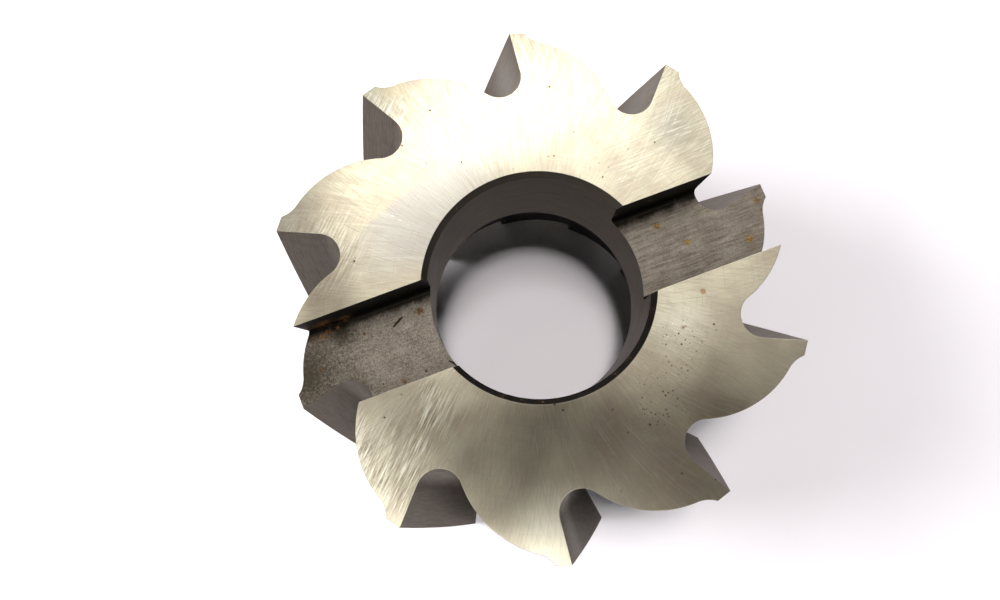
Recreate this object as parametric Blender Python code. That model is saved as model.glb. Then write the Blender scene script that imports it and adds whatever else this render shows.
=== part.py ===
"""Shell end mill: one solid piece of ground high-speed steel.

It stands on its cutting end, with the driving end up. The origin is the centre of the cutting end,
+Z runs up the bore, and the drive slot runs along X. Sizes are in metres.
"""

import math

import bmesh
import bpy
from mathutils import Matrix, Vector

MM = 0.001
INCH = 25.4 * MM

# Body
CUTTER_DIAMETER = 3 * INCH
CUTTER_LENGTH = 1.75 * INCH

# Teeth, seen in a cut square to the bore
TOOTH_COUNT = 10
TOOTH_DEPTH = 9.7 * MM
RAKE_ANGLE = math.radians(8.2)
LAND_WIDTH = 2.2 * MM
LAND_RELIEF = math.radians(5)
NOTCH_RADIUS = 4.2 * MM
NOTCH_STEEPNESS = math.radians(58)
BACK_RADIUS = 14.65 * MM
GULLET_RADIUS = 3.2 * MM
HELIX_ANGLE = math.radians(12.2)
SLOT_TO_TOOTH = math.radians(3.6)

# End teeth on the cutting end
END_LAND_WIDTH = 2.0 * MM
END_RELIEF = math.radians(6)
END_RAKE = math.radians(9)
END_DISH = math.radians(1.5)
GASH_SLOPE = math.radians(22)
GASH_ROOT_RADIUS = 1.2 * MM
GASH_STEP = 0.1 * MM

# Bore, and the recess that takes the head of the screw
BORE_DIAMETER = 1.25 * INCH
BORE_CHAMFER = 0.8 * MM
BEARING_LENGTH = 0.75 * INCH
RECESS_DIAMETER = 1.5 * INCH
RECESS_NECK = 2.7 * MM
RECESS_FLARE = math.radians(5)

# Drive slot across the driving end
SLOT_WIDTH = 13.1 * MM
SLOT_DEPTH = 7.15 * MM
SLOT_CORNER_RADIUS = 0.8 * MM

# How far a cutting shape runs past the surface that it opens
OVERRUN = 2.5 * MM
# Stock left on the cutting end for the end teeth to be ground from
END_STOCK = 0.5 * MM

# Fineness of the round stretches
ARC_STEP = math.radians(12)
BACK_ARC_STEP = math.radians(7)
CORNER_STEP = math.radians(18)
BORE_SEGMENTS = 96
HELIX_STEPS = 9
SHARP_EDGE_ANGLE = math.radians(22)

STEEL_COLOR = (0.42, 0.40, 0.36, 1.0)
STEEL_ROUGHNESS = 0.32

CUTTER_RADIUS = CUTTER_DIAMETER / 2
ROOT_RADIUS = CUTTER_RADIUS - TOOTH_DEPTH
BORE_RADIUS = BORE_DIAMETER / 2
RECESS_RADIUS = RECESS_DIAMETER / 2
SEAT_HEIGHT = CUTTER_LENGTH - BEARING_LENGTH
MOUTH_RADIUS = RECESS_RADIUS + (SEAT_HEIGHT - RECESS_NECK) * math.tan(RECESS_FLARE)
PITCH_ANGLE = math.tau / TOOTH_COUNT
TURN_PER_HEIGHT = math.tan(HELIX_ANGLE) / CUTTER_RADIUS
FRONT_TOOTH_ANGLE = SLOT_TO_TOOTH + CUTTER_LENGTH * TURN_PER_HEIGHT


def clear_scene():
    for found in list(bpy.data.objects):
        bpy.data.objects.remove(found, do_unlink=True)


def turned(point, angle):
    """A point of the plane, turned about the bore."""
    return Matrix.Rotation(angle, 2) @ point


def direction(angle):
    return Vector((math.cos(angle), math.sin(angle)))


def bearing(start, end):
    """The angle of the line from one point to another."""
    return math.atan2(end.y - start.y, end.x - start.x)


def arc(centre, radius, start, end, step):
    """Points along an arc from one angle to another, with both ends."""
    pieces = max(2, math.ceil(abs(end - start) / step))
    angles = [start + (end - start) * i / pieces for i in range(pieces + 1)]
    return [centre + radius * direction(angle) for angle in angles]


def rounded_corner(before, corner, after, radius):
    """The arc that touches both lines of a corner, in the order of travel."""
    incoming = (before - corner).normalized()
    outgoing = (after - corner).normalized()
    half = incoming.angle(outgoing) / 2
    centre = corner + (incoming + outgoing).normalized() * radius / math.sin(half)
    start = corner + incoming * radius / math.tan(half)
    end = corner + outgoing * radius / math.tan(half)
    first = bearing(centre, start)
    sweep = (bearing(centre, end) - first + math.pi) % math.tau - math.pi
    return arc(centre, radius, first, first + sweep, CORNER_STEP)


def touching_centre(first, first_distance, second, second_distance):
    """The point at the given distances from two others, on the left of the line from first to second."""
    gap = (second - first).length
    along = (gap**2 + first_distance**2 - second_distance**2) / (2 * gap)
    across = math.sqrt(first_distance**2 - along**2)
    forward = (second - first) / gap
    return first + forward * along + Vector((-forward.y, forward.x)) * across


def gullet_centre():
    """Where the round root sits: it touches the rake face and the root circle of the tooth whose tip is on +X."""
    into_gullet = Vector((-math.sin(RAKE_ANGLE), math.cos(RAKE_ANGLE)))
    down_face = Vector((-math.cos(RAKE_ANGLE), -math.sin(RAKE_ANGLE)))
    level = Vector((CUTTER_RADIUS, 0)) + into_gullet * GULLET_RADIUS
    reach = ROOT_RADIUS + GULLET_RADIUS
    slope = level.dot(down_face)
    travel = -slope - math.sqrt(slope**2 - level.length_squared + reach**2)
    return level + down_face * travel


def tooth_outline():
    """One pitch, from the tip on +X down its rake face, round the gullet and up the next tooth to its heel."""
    tip = Vector((CUTTER_RADIUS, 0))
    into_gullet = bearing(Vector((0, 0)), Vector((-math.sin(RAKE_ANGLE), math.cos(RAKE_ANGLE))))
    gullet = gullet_centre()
    heel = tip + Vector((-math.sin(LAND_RELIEF), -math.cos(LAND_RELIEF))) * LAND_WIDTH
    notch = heel + Vector((math.cos(NOTCH_STEEPNESS), -math.sin(NOTCH_STEEPNESS))) * NOTCH_RADIUS
    gullet_behind = turned(gullet, -PITCH_ANGLE)
    back = touching_centre(
        gullet_behind, GULLET_RADIUS + BACK_RADIUS, notch, NOTCH_RADIUS + BACK_RADIUS
    )

    root_start = into_gullet + math.pi
    root_end = bearing(gullet_behind, back) + PITCH_ANGLE
    back_start = bearing(back, gullet_behind)
    back_end = bearing(back, notch)
    notch_start = bearing(notch, back)
    notch_end = bearing(notch, heel)

    root_arc = arc(gullet, GULLET_RADIUS, root_start, root_end, ARC_STEP)
    back_arc = arc(back, BACK_RADIUS, back_start, back_end, BACK_ARC_STEP)
    notch_arc = arc(notch, NOTCH_RADIUS, notch_start, notch_end, ARC_STEP)
    next_tooth = [turned(point, PITCH_ANGLE) for point in back_arc[1:] + notch_arc[1:]]
    return [tip] + root_arc + next_tooth


def new_object(name, bm):
    """A mesh object with all its faces pointing out."""
    bmesh.ops.recalc_face_normals(bm, faces=bm.faces)
    mesh = bpy.data.meshes.new(name)
    bm.to_mesh(mesh)
    bm.free()
    made = bpy.data.objects.new(name, mesh)
    bpy.context.scene.collection.objects.link(made)
    return made


def closed_loop(bm, points):
    corners = [bm.verts.new(point) for point in points]
    edges = [bm.edges.new((corners[i - 1], corners[i])) for i in range(len(corners))]
    return corners, edges


def toothed_blank():
    """The outline of all the teeth, carried up the body along the helix."""
    bm = bmesh.new()
    pitch = tooth_outline()
    low = -END_STOCK
    low_turn = FRONT_TOOTH_ANGLE - low * TURN_PER_HEIGHT
    points = []
    for tooth in range(TOOTH_COUNT):
        for point in pitch:
            placed = turned(point, low_turn + tooth * PITCH_ANGLE)
            points.append((placed.x, placed.y, low))
    corners, edges = closed_loop(bm, points)
    height = CUTTER_LENGTH + END_STOCK
    swept = bmesh.ops.spin(
        bm,
        geom=corners + edges,
        cent=(0, 0, 0),
        axis=(0, 0, 1),
        dvec=(0, 0, height / HELIX_STEPS),
        angle=-height * TURN_PER_HEIGHT,
        steps=HELIX_STEPS,
    )
    bm.faces.new(corners)
    top = [found for found in swept["geom_last"] if isinstance(found, bmesh.types.BMEdge)]
    bmesh.ops.contextual_create(bm, geom=top)
    bmesh.ops.triangulate(bm, faces=bm.faces)
    return new_object("shell_end_mill", bm)


def turned_bore():
    """The bore with its chamfered mouth, the seat for the screw head and the recess that flares below it."""
    top = CUTTER_LENGTH
    profile = [
        (0, -OVERRUN),
        (MOUTH_RADIUS + OVERRUN * math.tan(RECESS_FLARE), -OVERRUN),
        (RECESS_RADIUS, SEAT_HEIGHT - RECESS_NECK),
        (RECESS_RADIUS, SEAT_HEIGHT),
        (BORE_RADIUS, SEAT_HEIGHT),
        (BORE_RADIUS, top - BORE_CHAMFER),
        (BORE_RADIUS + BORE_CHAMFER + OVERRUN, top + OVERRUN),
        (0, top + OVERRUN),
    ]
    bm = bmesh.new()
    corners = [bm.verts.new((radius, 0, height)) for radius, height in profile]
    edges = [bm.edges.new(pair) for pair in zip(corners, corners[1:])]
    bmesh.ops.spin(
        bm,
        geom=corners + edges,
        cent=(0, 0, 0),
        axis=(0, 0, 1),
        angle=math.tau,
        steps=BORE_SEGMENTS,
        use_merge=True,
    )
    bmesh.ops.remove_doubles(bm, verts=bm.verts, dist=0.001 * MM)
    return new_object("bore_cut", bm)


def drive_slot():
    """The slot across the driving end, with round corners at its floor."""
    half = SLOT_WIDTH / 2
    floor = CUTTER_LENGTH - SLOT_DEPTH
    top = CUTTER_LENGTH + OVERRUN
    low_left = Vector((-half, floor))
    low_right = Vector((half, floor))
    high_left = Vector((-half, top))
    high_right = Vector((half, top))
    outline = [high_left]
    outline += rounded_corner(high_left, low_left, low_right, SLOT_CORNER_RADIUS)
    outline += rounded_corner(low_left, low_right, high_right, SLOT_CORNER_RADIUS)
    outline.append(high_right)
    reach = CUTTER_RADIUS + OVERRUN
    bm = bmesh.new()
    start = bm.faces.new([bm.verts.new((-reach, point.x, point.y)) for point in outline])
    grown = bmesh.ops.extrude_face_region(bm, geom=[start])
    moved = [found for found in grown["geom"] if isinstance(found, bmesh.types.BMVert)]
    bmesh.ops.translate(bm, verts=moved, vec=(2 * reach, 0, 0))
    return new_object("slot_cut", bm)


def end_edge_point(tooth_angle, inward):
    """A point of the end cutting edge, which carries on the line of the rake face toward the bore."""
    tip = Vector((CUTTER_RADIUS, 0))
    along = Vector((-math.cos(RAKE_ANGLE), -math.sin(RAKE_ANGLE)))
    return turned(tip + along * inward, tooth_angle)


def gash_section(tooth_angle, inward):
    """One cut across a gash: its wall under this tooth's edge, its root, its slope and the next tooth's land."""
    near = end_edge_point(tooth_angle, inward)
    far = end_edge_point(tooth_angle + PITCH_ANGLE, inward)
    width = (far - near).length
    lean = math.tan(END_RAKE) * near.length / CUTTER_RADIUS
    edge_height = inward * math.tan(END_DISH)
    heel = Vector((width - END_LAND_WIDTH, edge_height + END_LAND_WIDTH * math.tan(END_RELIEF)))
    slope = math.tan(GASH_SLOPE)
    root_height = (heel.y + (heel.x - GASH_STEP) * slope) / (1 - lean * slope)
    root = Vector((GASH_STEP - lean * root_height, root_height))
    wall_foot = Vector((GASH_STEP + lean * OVERRUN, -OVERRUN))
    past_edge = Vector((width + OVERRUN, edge_height - OVERRUN * math.tan(END_RELIEF)))
    below = Vector((width + OVERRUN, -OVERRUN))
    section = [wall_foot]
    section += rounded_corner(wall_foot, root, heel, GASH_ROOT_RADIUS)
    section += [heel, past_edge, below]
    across = (far - near) / width
    return [(*(near + across * point.x), point.y) for point in section]


def end_gash(tooth):
    """The wedge of metal taken out in front of one end tooth, from the rim through to the recess."""
    tooth_angle = FRONT_TOOTH_ANGLE + tooth * PITCH_ANGLE
    outermost = -OVERRUN
    innermost = CUTTER_RADIUS - MOUTH_RADIUS + OVERRUN
    bm = bmesh.new()
    rim_corners, rim_edges = closed_loop(bm, gash_section(tooth_angle, outermost))
    hub_corners, hub_edges = closed_loop(bm, gash_section(tooth_angle, innermost))
    bmesh.ops.bridge_loops(bm, edges=rim_edges + hub_edges)
    bm.faces.new(rim_corners)
    bm.faces.new(hub_corners)
    bmesh.ops.triangulate(bm, faces=bm.faces)
    return new_object(f"gash_cut_{tooth + 1}", bm)


def cut(body, cutter, solver="EXACT"):
    """Takes the cutter's shape out of the body, and then the cutter out of the scene."""
    cutter.hide_render = True
    cutter.display_type = "WIRE"
    boolean = body.modifiers.new(cutter.name, "BOOLEAN")
    boolean.operation = "DIFFERENCE"
    boolean.solver = solver
    boolean.object = cutter
    graph = bpy.context.evaluated_depsgraph_get()
    result = bpy.data.meshes.new_from_object(body.evaluated_get(graph))
    body.modifiers.clear()
    body.data = result
    bpy.data.objects.remove(cutter, do_unlink=True)


def tool_steel():
    material = bpy.data.materials.new("ground_tool_steel")
    material.use_nodes = True
    shader = material.node_tree.nodes["Principled BSDF"]
    shader.inputs["Base Color"].default_value = STEEL_COLOR
    shader.inputs["Metallic"].default_value = 1.0
    shader.inputs["Roughness"].default_value = STEEL_ROUGHNESS
    return material


def shell_end_mill():
    body = toothed_blank()
    cut(body, turned_bore())
    cut(body, drive_slot())
    for tooth in range(TOOTH_COUNT):
        cut(body, end_gash(tooth), "MANIFOLD")
    body.data.name = body.name
    body.data.materials.clear()
    body.data.materials.append(tool_steel())
    body.data.shade_smooth()
    body.data.set_sharp_from_angle(angle=SHARP_EDGE_ANGLE)


clear_scene()
shell_end_mill()
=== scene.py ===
"""Shell end mill: the finished looks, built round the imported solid.

The mill stands on its cutting end, with the driving end up and the drive slot along X.
Lengths are in metres and angles in radians.
"""

import math

import bmesh
import bpy
from mathutils import Matrix, Vector


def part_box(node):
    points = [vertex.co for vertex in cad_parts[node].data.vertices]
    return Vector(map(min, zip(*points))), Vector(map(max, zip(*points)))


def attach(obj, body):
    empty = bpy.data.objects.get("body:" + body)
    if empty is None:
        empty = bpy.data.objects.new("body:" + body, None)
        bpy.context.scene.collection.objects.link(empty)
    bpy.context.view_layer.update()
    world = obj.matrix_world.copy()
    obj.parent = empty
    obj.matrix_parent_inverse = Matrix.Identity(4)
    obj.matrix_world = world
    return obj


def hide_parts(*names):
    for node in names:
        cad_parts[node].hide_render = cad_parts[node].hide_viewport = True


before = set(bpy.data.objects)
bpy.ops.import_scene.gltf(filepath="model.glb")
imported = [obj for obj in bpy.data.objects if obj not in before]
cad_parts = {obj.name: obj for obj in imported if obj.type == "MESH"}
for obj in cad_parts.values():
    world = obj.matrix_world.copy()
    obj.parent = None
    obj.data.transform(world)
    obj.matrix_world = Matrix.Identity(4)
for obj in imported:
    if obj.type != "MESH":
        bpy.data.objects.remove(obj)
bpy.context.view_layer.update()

MM = 0.001
INCH = 25.4 * MM
NODE = "shell_end_mill"

# How far the teeth stay inside those of the solid
INSIDE_SOLID = 0.005 * MM

# The solid's own sizes
SOLID_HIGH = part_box(NODE)[1]
CUTTER_RADIUS = SOLID_HIGH.y - INSIDE_SOLID
CUTTER_LENGTH = SOLID_HIGH.z
TOOTH_COUNT = 10
TOOTH_DEPTH = 9.7 * MM
RAKE_ANGLE = math.radians(8.2)
LAND_WIDTH = 2.2 * MM
LAND_RELIEF = math.radians(5)
NOTCH_RADIUS = 4.2 * MM
NOTCH_STEEPNESS = math.radians(58)
BACK_RADIUS = 14.65 * MM
GULLET_RADIUS = 3.2 * MM
HELIX_ANGLE = math.radians(12.2)
SLOT_TO_TOOTH = math.radians(3.6)
END_LAND_WIDTH = 2.0 * MM
END_RELIEF = math.radians(6)
END_RAKE = math.radians(9)
END_DISH = math.radians(1.5)
GASH_SLOPE = math.radians(22)
GASH_ROOT_RADIUS = 1.2 * MM
GASH_STEP = 0.1 * MM
BORE_RADIUS = 1.25 * INCH / 2
BORE_CHAMFER = 0.8 * MM
SEAT_HEIGHT = CUTTER_LENGTH - 0.75 * INCH
RECESS_RADIUS = 1.5 * INCH / 2
RECESS_NECK = 2.7 * MM
RECESS_FLARE = math.radians(5)
SLOT_WIDTH = 13.1 * MM
SLOT_DEPTH = 7.15 * MM
SLOT_CORNER_RADIUS = 0.8 * MM
OVERRUN = 2.5 * MM
END_STOCK = 0.5 * MM

ROOT_RADIUS = CUTTER_RADIUS - TOOTH_DEPTH
SLOT_FLOOR = CUTTER_LENGTH - SLOT_DEPTH
MOUTH_RADIUS = RECESS_RADIUS + (SEAT_HEIGHT - RECESS_NECK) * math.tan(RECESS_FLARE)
PITCH_ANGLE = math.tau / TOOTH_COUNT
TURN_PER_HEIGHT = math.tan(HELIX_ANGLE) / CUTTER_RADIUS
FRONT_TOOTH_ANGLE = SLOT_TO_TOOTH + CUTTER_LENGTH * TURN_PER_HEIGHT

# How many straight lengths make each round stretch
ROOT_PIECES = 36
BACK_PIECES = 34
NOTCH_PIECES = 18
CORNER_PIECES = 10
BORE_SEGMENTS = 240
HELIX_LAYERS = 30
SHARP_EDGE_ANGLE = math.radians(20)

# Corners this close together become one
BORE_WELD = 0.001 * MM
OUTLINE_WELD = 0.002 * MM

# What tells the surfaces apart: how close they lie to a plane or a cylinder, and the share of their
# direction that points up, or across the slot for its walls
ON_SURFACE = 0.03 * MM
LEVEL_SHARE = 0.95
SEAT_SHARE = -0.9
END_TOOTH_SHARE = -0.3
RECESS_SHARE = -0.5
CHAMFER_SHARES = (0.3, 0.9)
SLOT_WALL_SHARE = 0.2

# The tips of a loose bit: their thickness against its middle, and how blunt they are
BIT_TIP_SHARE = 0.2
BIT_BLUNTNESS = 0.12

# Loose bits: the start, with its height over the slot floor, the direction and the bend in degrees,
# then the length, the rise, half the width and the thickness. Lengths are in millimetres
LOOSE_BITS = [
    ("bore_edge_burr", (-14.9, -5.9, 0.06), 100, 50, 1.5, 0.5, 0.14, 0.06),
    ("slot_chip", (-21.7, 2.8, 0.05), 33, -9, 2.1, 0.25, 0.17, 0.06),
]


class Value:
    """A number that varies over a shape or a surface. Arithmetic on it adds Math nodes."""

    def __init__(self, board, socket):
        self.board = board
        self.socket = socket

    def maths(self, operation, *others):
        values = dict(enumerate((self, *others)))
        return self.board.node("ShaderNodeMath", {"operation": operation}, values)

    def __add__(self, other):
        return self.maths("ADD", other)

    __radd__ = __add__

    def __mul__(self, other):
        return self.maths("MULTIPLY", other)

    __rmul__ = __mul__

    def __sub__(self, other):
        return self.maths("SUBTRACT", other)

    def __rsub__(self, other):
        return self.board.node("ShaderNodeMath", {"operation": "SUBTRACT"}, {0: other, 1: self})

    def __truediv__(self, other):
        return self.maths("DIVIDE", other)

    def __rtruediv__(self, other):
        return self.board.node("ShaderNodeMath", {"operation": "DIVIDE"}, {0: other, 1: self})

    def __gt__(self, other):
        return self.maths("GREATER_THAN", other)

    def __lt__(self, other):
        return self.maths("LESS_THAN", other)

    def __abs__(self):
        return self.maths("ABSOLUTE")

    def root(self):
        return self.maths("SQRT")

    def cosine(self):
        return self.maths("COSINE")

    def sine(self):
        return self.maths("SINE")

    def most(self, other):
        return self.maths("MAXIMUM", other)

    def ramp(self, low, high):
        """From 0 to 1 as this number goes from low to high, and level outside."""
        settings = {"interpolation_type": "SMOOTHSTEP"}
        return self.board.node("ShaderNodeMapRange", settings, {0: self, 1: low, 2: high})

    def swing(self):
        """How far a noise is over or under its middle."""
        return self - NOISE_MIDDLE


class Board:
    """A node tree under construction, for a shape or a finish."""

    def __init__(self, tree):
        self.tree = tree

    def add(self, kind, settings=None, values=None):
        """A node of this type: its settings first, then the values or links of its sockets."""
        made = self.tree.nodes.new(kind)
        for name, setting in (settings or {}).items():
            setattr(made, name, setting)
        for name, source in (values or {}).items():
            if isinstance(source, Value):
                self.tree.links.new(source.socket, made.inputs[name])
            elif source is not None:
                made.inputs[name].default_value = source
        return made

    def node(self, kind, settings=None, values=None, output=0):
        """One output of a new node, as a Value."""
        return Value(self, self.add(kind, settings, values).outputs[output])

    def vector(self, x=0.0, y=0.0, z=0.0):
        return self.node("ShaderNodeCombineXYZ", None, {0: x, 1: y, 2: z})

    def parts(self, vector):
        split = self.add("ShaderNodeSeparateXYZ", None, {0: vector})
        return [Value(self, output) for output in split.outputs]

    def blend(self, factor, first, second):
        """The second colour laid over the first."""
        settings = {"data_type": "RGBA", "clamp_factor": True}
        return self.node("ShaderNodeMix", settings, {0: factor, 6: first, 7: second}, output=2)

    def noise(self, place, scale, detail, roughness):
        values = {"Vector": place, "Scale": scale, "Detail": detail, "Roughness": roughness}
        return self.node("ShaderNodeTexNoise", None, values)


# Shape of the teeth


def turned(point, angle):
    return Matrix.Rotation(angle, 2) @ point


def direction(angle):
    return Vector((math.cos(angle), math.sin(angle)))


def bearing(start, end):
    return math.atan2(end.y - start.y, end.x - start.x)


def arc(centre, radius, start, end, pieces):
    angles = [start + (end - start) * i / pieces for i in range(pieces + 1)]
    return [centre + radius * direction(angle) for angle in angles]


def rounded_corner(before, corner, after, radius):
    """The arc that touches both lines of a corner, in the order of travel."""
    incoming = (before - corner).normalized()
    outgoing = (after - corner).normalized()
    half = incoming.angle(outgoing) / 2
    centre = corner + (incoming + outgoing).normalized() * radius / math.sin(half)
    start = corner + incoming * radius / math.tan(half)
    end = corner + outgoing * radius / math.tan(half)
    first = bearing(centre, start)
    sweep = (bearing(centre, end) - first + math.pi) % math.tau - math.pi
    return arc(centre, radius, first, first + sweep, CORNER_PIECES)


def touching_centre(first, first_distance, second, second_distance):
    """The point at these distances from two others, on the left of the line between them."""
    gap = (second - first).length
    along = (gap**2 + first_distance**2 - second_distance**2) / (2 * gap)
    across = math.sqrt(first_distance**2 - along**2)
    forward = (second - first) / gap
    return first + forward * along + Vector((-forward.y, forward.x)) * across


def gullet_centre():
    """Where the round root sits: it touches the root circle and the rake face under the tip on +X."""
    into_gullet = Vector((-math.sin(RAKE_ANGLE), math.cos(RAKE_ANGLE)))
    down_face = Vector((-math.cos(RAKE_ANGLE), -math.sin(RAKE_ANGLE)))
    level = Vector((CUTTER_RADIUS, 0)) + into_gullet * GULLET_RADIUS
    reach = ROOT_RADIUS + GULLET_RADIUS
    slope = level.dot(down_face)
    travel = -slope - math.sqrt(slope**2 - level.length_squared + reach**2)
    return level + down_face * travel


def tooth_outline():
    """One pitch: from the tip on +X down the rake face, round the gullet and up to the next tip."""
    tip = Vector((CUTTER_RADIUS, 0))
    gullet = gullet_centre()
    heel = tip + Vector((-math.sin(LAND_RELIEF), -math.cos(LAND_RELIEF))) * LAND_WIDTH
    notch = heel + Vector((math.cos(NOTCH_STEEPNESS), -math.sin(NOTCH_STEEPNESS))) * NOTCH_RADIUS
    gullet_behind = turned(gullet, -PITCH_ANGLE)
    back = touching_centre(
        gullet_behind, GULLET_RADIUS + BACK_RADIUS, notch, NOTCH_RADIUS + BACK_RADIUS
    )
    root_start = RAKE_ANGLE + 3 * math.pi / 2
    root_end = bearing(gullet_behind, back) + PITCH_ANGLE + math.tau
    root_sweep = (root_end - root_start - math.pi) % math.tau - math.pi
    root_arc = arc(gullet, GULLET_RADIUS, root_start, root_start + root_sweep, ROOT_PIECES)
    back_arc = arc(
        back, BACK_RADIUS, bearing(back, gullet_behind), bearing(back, notch), BACK_PIECES
    )
    notch_arc = arc(
        notch, NOTCH_RADIUS, bearing(notch, back), bearing(notch, heel), NOTCH_PIECES
    )
    next_tooth = [turned(point, PITCH_ANGLE) for point in back_arc[1:] + notch_arc[1:] + [tip]]
    return [tip] + root_arc + next_tooth


# Helpers that make meshes


def object_of(name, bm):
    """A new object with this mesh."""
    mesh = bpy.data.meshes.new(name)
    bm.to_mesh(mesh)
    bm.free()
    made = bpy.data.objects.new(name, mesh)
    bpy.context.scene.collection.objects.link(made)
    return made


def closed_object(name, bm):
    """A new object with this closed mesh, its faces turned to point out."""
    bmesh.ops.recalc_face_normals(bm, faces=bm.faces)
    return object_of(name, bm)


def pitch_line():
    """The outline of one tooth and gullet, as a line of points on the floor."""
    bm = bmesh.new()
    points = [bm.verts.new((point.x, point.y, 0)) for point in tooth_outline()]
    for pair in zip(points, points[1:]):
        bm.edges.new(pair)
    return object_of("pitch_line", bm)


def bore_plug():
    """What boring takes out: the bore, its chamfered mouth, the seat and the flared recess."""
    top = CUTTER_LENGTH
    profile = [
        (0, -OVERRUN),
        (MOUTH_RADIUS + OVERRUN * math.tan(RECESS_FLARE), -OVERRUN),
        (RECESS_RADIUS, SEAT_HEIGHT - RECESS_NECK),
        (RECESS_RADIUS, SEAT_HEIGHT),
        (BORE_RADIUS, SEAT_HEIGHT),
        (BORE_RADIUS, top - BORE_CHAMFER),
        (BORE_RADIUS + BORE_CHAMFER + OVERRUN, top + OVERRUN),
        (0, top + OVERRUN),
    ]
    bm = bmesh.new()
    corners = [bm.verts.new((radius, 0, height)) for radius, height in profile]
    edges = [bm.edges.new(pair) for pair in zip(corners, corners[1:])]
    bmesh.ops.spin(
        bm,
        geom=corners + edges,
        cent=(0, 0, 0),
        axis=(0, 0, 1),
        angle=math.tau,
        steps=BORE_SEGMENTS,
        use_merge=True,
    )
    bmesh.ops.remove_doubles(bm, verts=bm.verts, dist=BORE_WELD)
    return closed_object("bore_plug", bm)


def slot_bar():
    """The bar of metal that the slot cutter takes out, with round corners at the floor."""
    half = SLOT_WIDTH / 2
    top = CUTTER_LENGTH + OVERRUN
    low_left, low_right = Vector((-half, SLOT_FLOOR)), Vector((half, SLOT_FLOOR))
    high_left, high_right = Vector((-half, top)), Vector((half, top))
    outline = [high_left]
    outline += rounded_corner(high_left, low_left, low_right, SLOT_CORNER_RADIUS)
    outline += rounded_corner(low_left, low_right, high_right, SLOT_CORNER_RADIUS)
    outline.append(high_right)
    reach = CUTTER_RADIUS + OVERRUN
    bm = bmesh.new()
    start = bm.faces.new([bm.verts.new((-reach, point.x, point.y)) for point in outline])
    grown = bmesh.ops.extrude_face_region(bm, geom=[start])
    moved = [found for found in grown["geom"] if isinstance(found, bmesh.types.BMVert)]
    bmesh.ops.translate(bm, verts=moved, vec=(2 * reach, 0, 0))
    return closed_object("slot_bar", bm)


def end_edge_point(tooth_angle, inward):
    """A point of the end cutting edge, which carries on from the rake face toward the bore."""
    along = Vector((-math.cos(RAKE_ANGLE), -math.sin(RAKE_ANGLE)))
    return turned(Vector((CUTTER_RADIUS, 0)) + along * inward, tooth_angle)


def gash_section(inward):
    """One cut across a gash: the wall under an edge, the root, the slope and the next tooth's land."""
    near = end_edge_point(FRONT_TOOTH_ANGLE, inward)
    far = end_edge_point(FRONT_TOOTH_ANGLE + PITCH_ANGLE, inward)
    width = (far - near).length
    lean = math.tan(END_RAKE) * near.length / CUTTER_RADIUS
    edge_height = inward * math.tan(END_DISH)
    heel = Vector((width - END_LAND_WIDTH, edge_height + END_LAND_WIDTH * math.tan(END_RELIEF)))
    slope = math.tan(GASH_SLOPE)
    root_height = (heel.y + (heel.x - GASH_STEP) * slope) / (1 - lean * slope)
    root = Vector((GASH_STEP - lean * root_height, root_height))
    wall_foot = Vector((GASH_STEP + lean * OVERRUN, -OVERRUN))
    past_edge = Vector((width + OVERRUN, edge_height - OVERRUN * math.tan(END_RELIEF)))
    below = Vector((width + OVERRUN, -OVERRUN))
    section = [wall_foot]
    section += rounded_corner(wall_foot, root, heel, GASH_ROOT_RADIUS)
    section += [heel, past_edge, below]
    across = (far - near) / width
    return [(*(near + across * point.x), point.y) for point in section]


def gash_wedge():
    """The wedge of metal in front of the first end tooth, from the rim to the recess."""
    bm = bmesh.new()
    sections = []
    edges = []
    for inward in (-OVERRUN, CUTTER_RADIUS - MOUTH_RADIUS + OVERRUN):
        corners = [bm.verts.new(point) for point in gash_section(inward)]
        edges += [bm.edges.new((corners[i - 1], corners[i])) for i in range(len(corners))]
        sections.append(corners)
    bmesh.ops.bridge_loops(bm, edges=edges)
    for corners in sections:
        bm.faces.new(corners)
    bmesh.ops.triangulate(bm, faces=bm.faces)
    return closed_object("gash_wedge", bm)


# The body, grown from one pitch of its teeth


def surfaces(board, finishes):
    """Each finish with the faces that it goes on. A later one covers an earlier one."""
    x, y, z = board.parts(board.node("GeometryNodeInputPosition"))
    facing_y, facing_z = board.parts(board.node("GeometryNodeInputNormal"))[1:]
    radius = (x * x + y * y).root()
    under_top = z < CUTTER_LENGTH - ON_SURFACE
    in_slot = (abs(y) < SLOT_WIDTH / 2 + ON_SURFACE) * (z > SLOT_FLOOR - ON_SURFACE)
    in_recess = (radius < MOUTH_RADIUS + ON_SURFACE) * (z < SEAT_HEIGHT + ON_SURFACE)
    on_seat = abs(z - SEAT_HEIGHT) < ON_SURFACE
    on_slot_floor = in_slot * (z < SLOT_FLOOR + ON_SURFACE)
    at_chamfer = z > CUTTER_LENGTH - BORE_CHAMFER
    chamfer_low, chamfer_high = CHAMFER_SHARES
    return [
        (finishes["flute"], None),
        (finishes["land"], radius > CUTTER_RADIUS - LAND_WIDTH * math.sin(LAND_RELIEF)),
        (finishes["end_tooth"], (facing_z < END_TOOTH_SHARE) * (z < SEAT_HEIGHT - RECESS_NECK)),
        (finishes["bore"], radius < BORE_RADIUS + ON_SURFACE),
        (finishes["recess"], in_recess * (facing_z > RECESS_SHARE)),
        (finishes["seat"], on_seat * (facing_z < SEAT_SHARE)),
        (finishes["slot_wall"], in_slot * (abs(facing_y) > SLOT_WALL_SHARE) * under_top),
        (finishes["slot_floor"], on_slot_floor * (facing_z > LEVEL_SHARE)),
        (finishes["chamfer"], at_chamfer * (facing_z > chamfer_low) * (facing_z < chamfer_high)),
        (finishes["drive_face"], (facing_z > LEVEL_SHARE) * (z > CUTTER_LENGTH - ON_SURFACE)),
    ]


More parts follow.
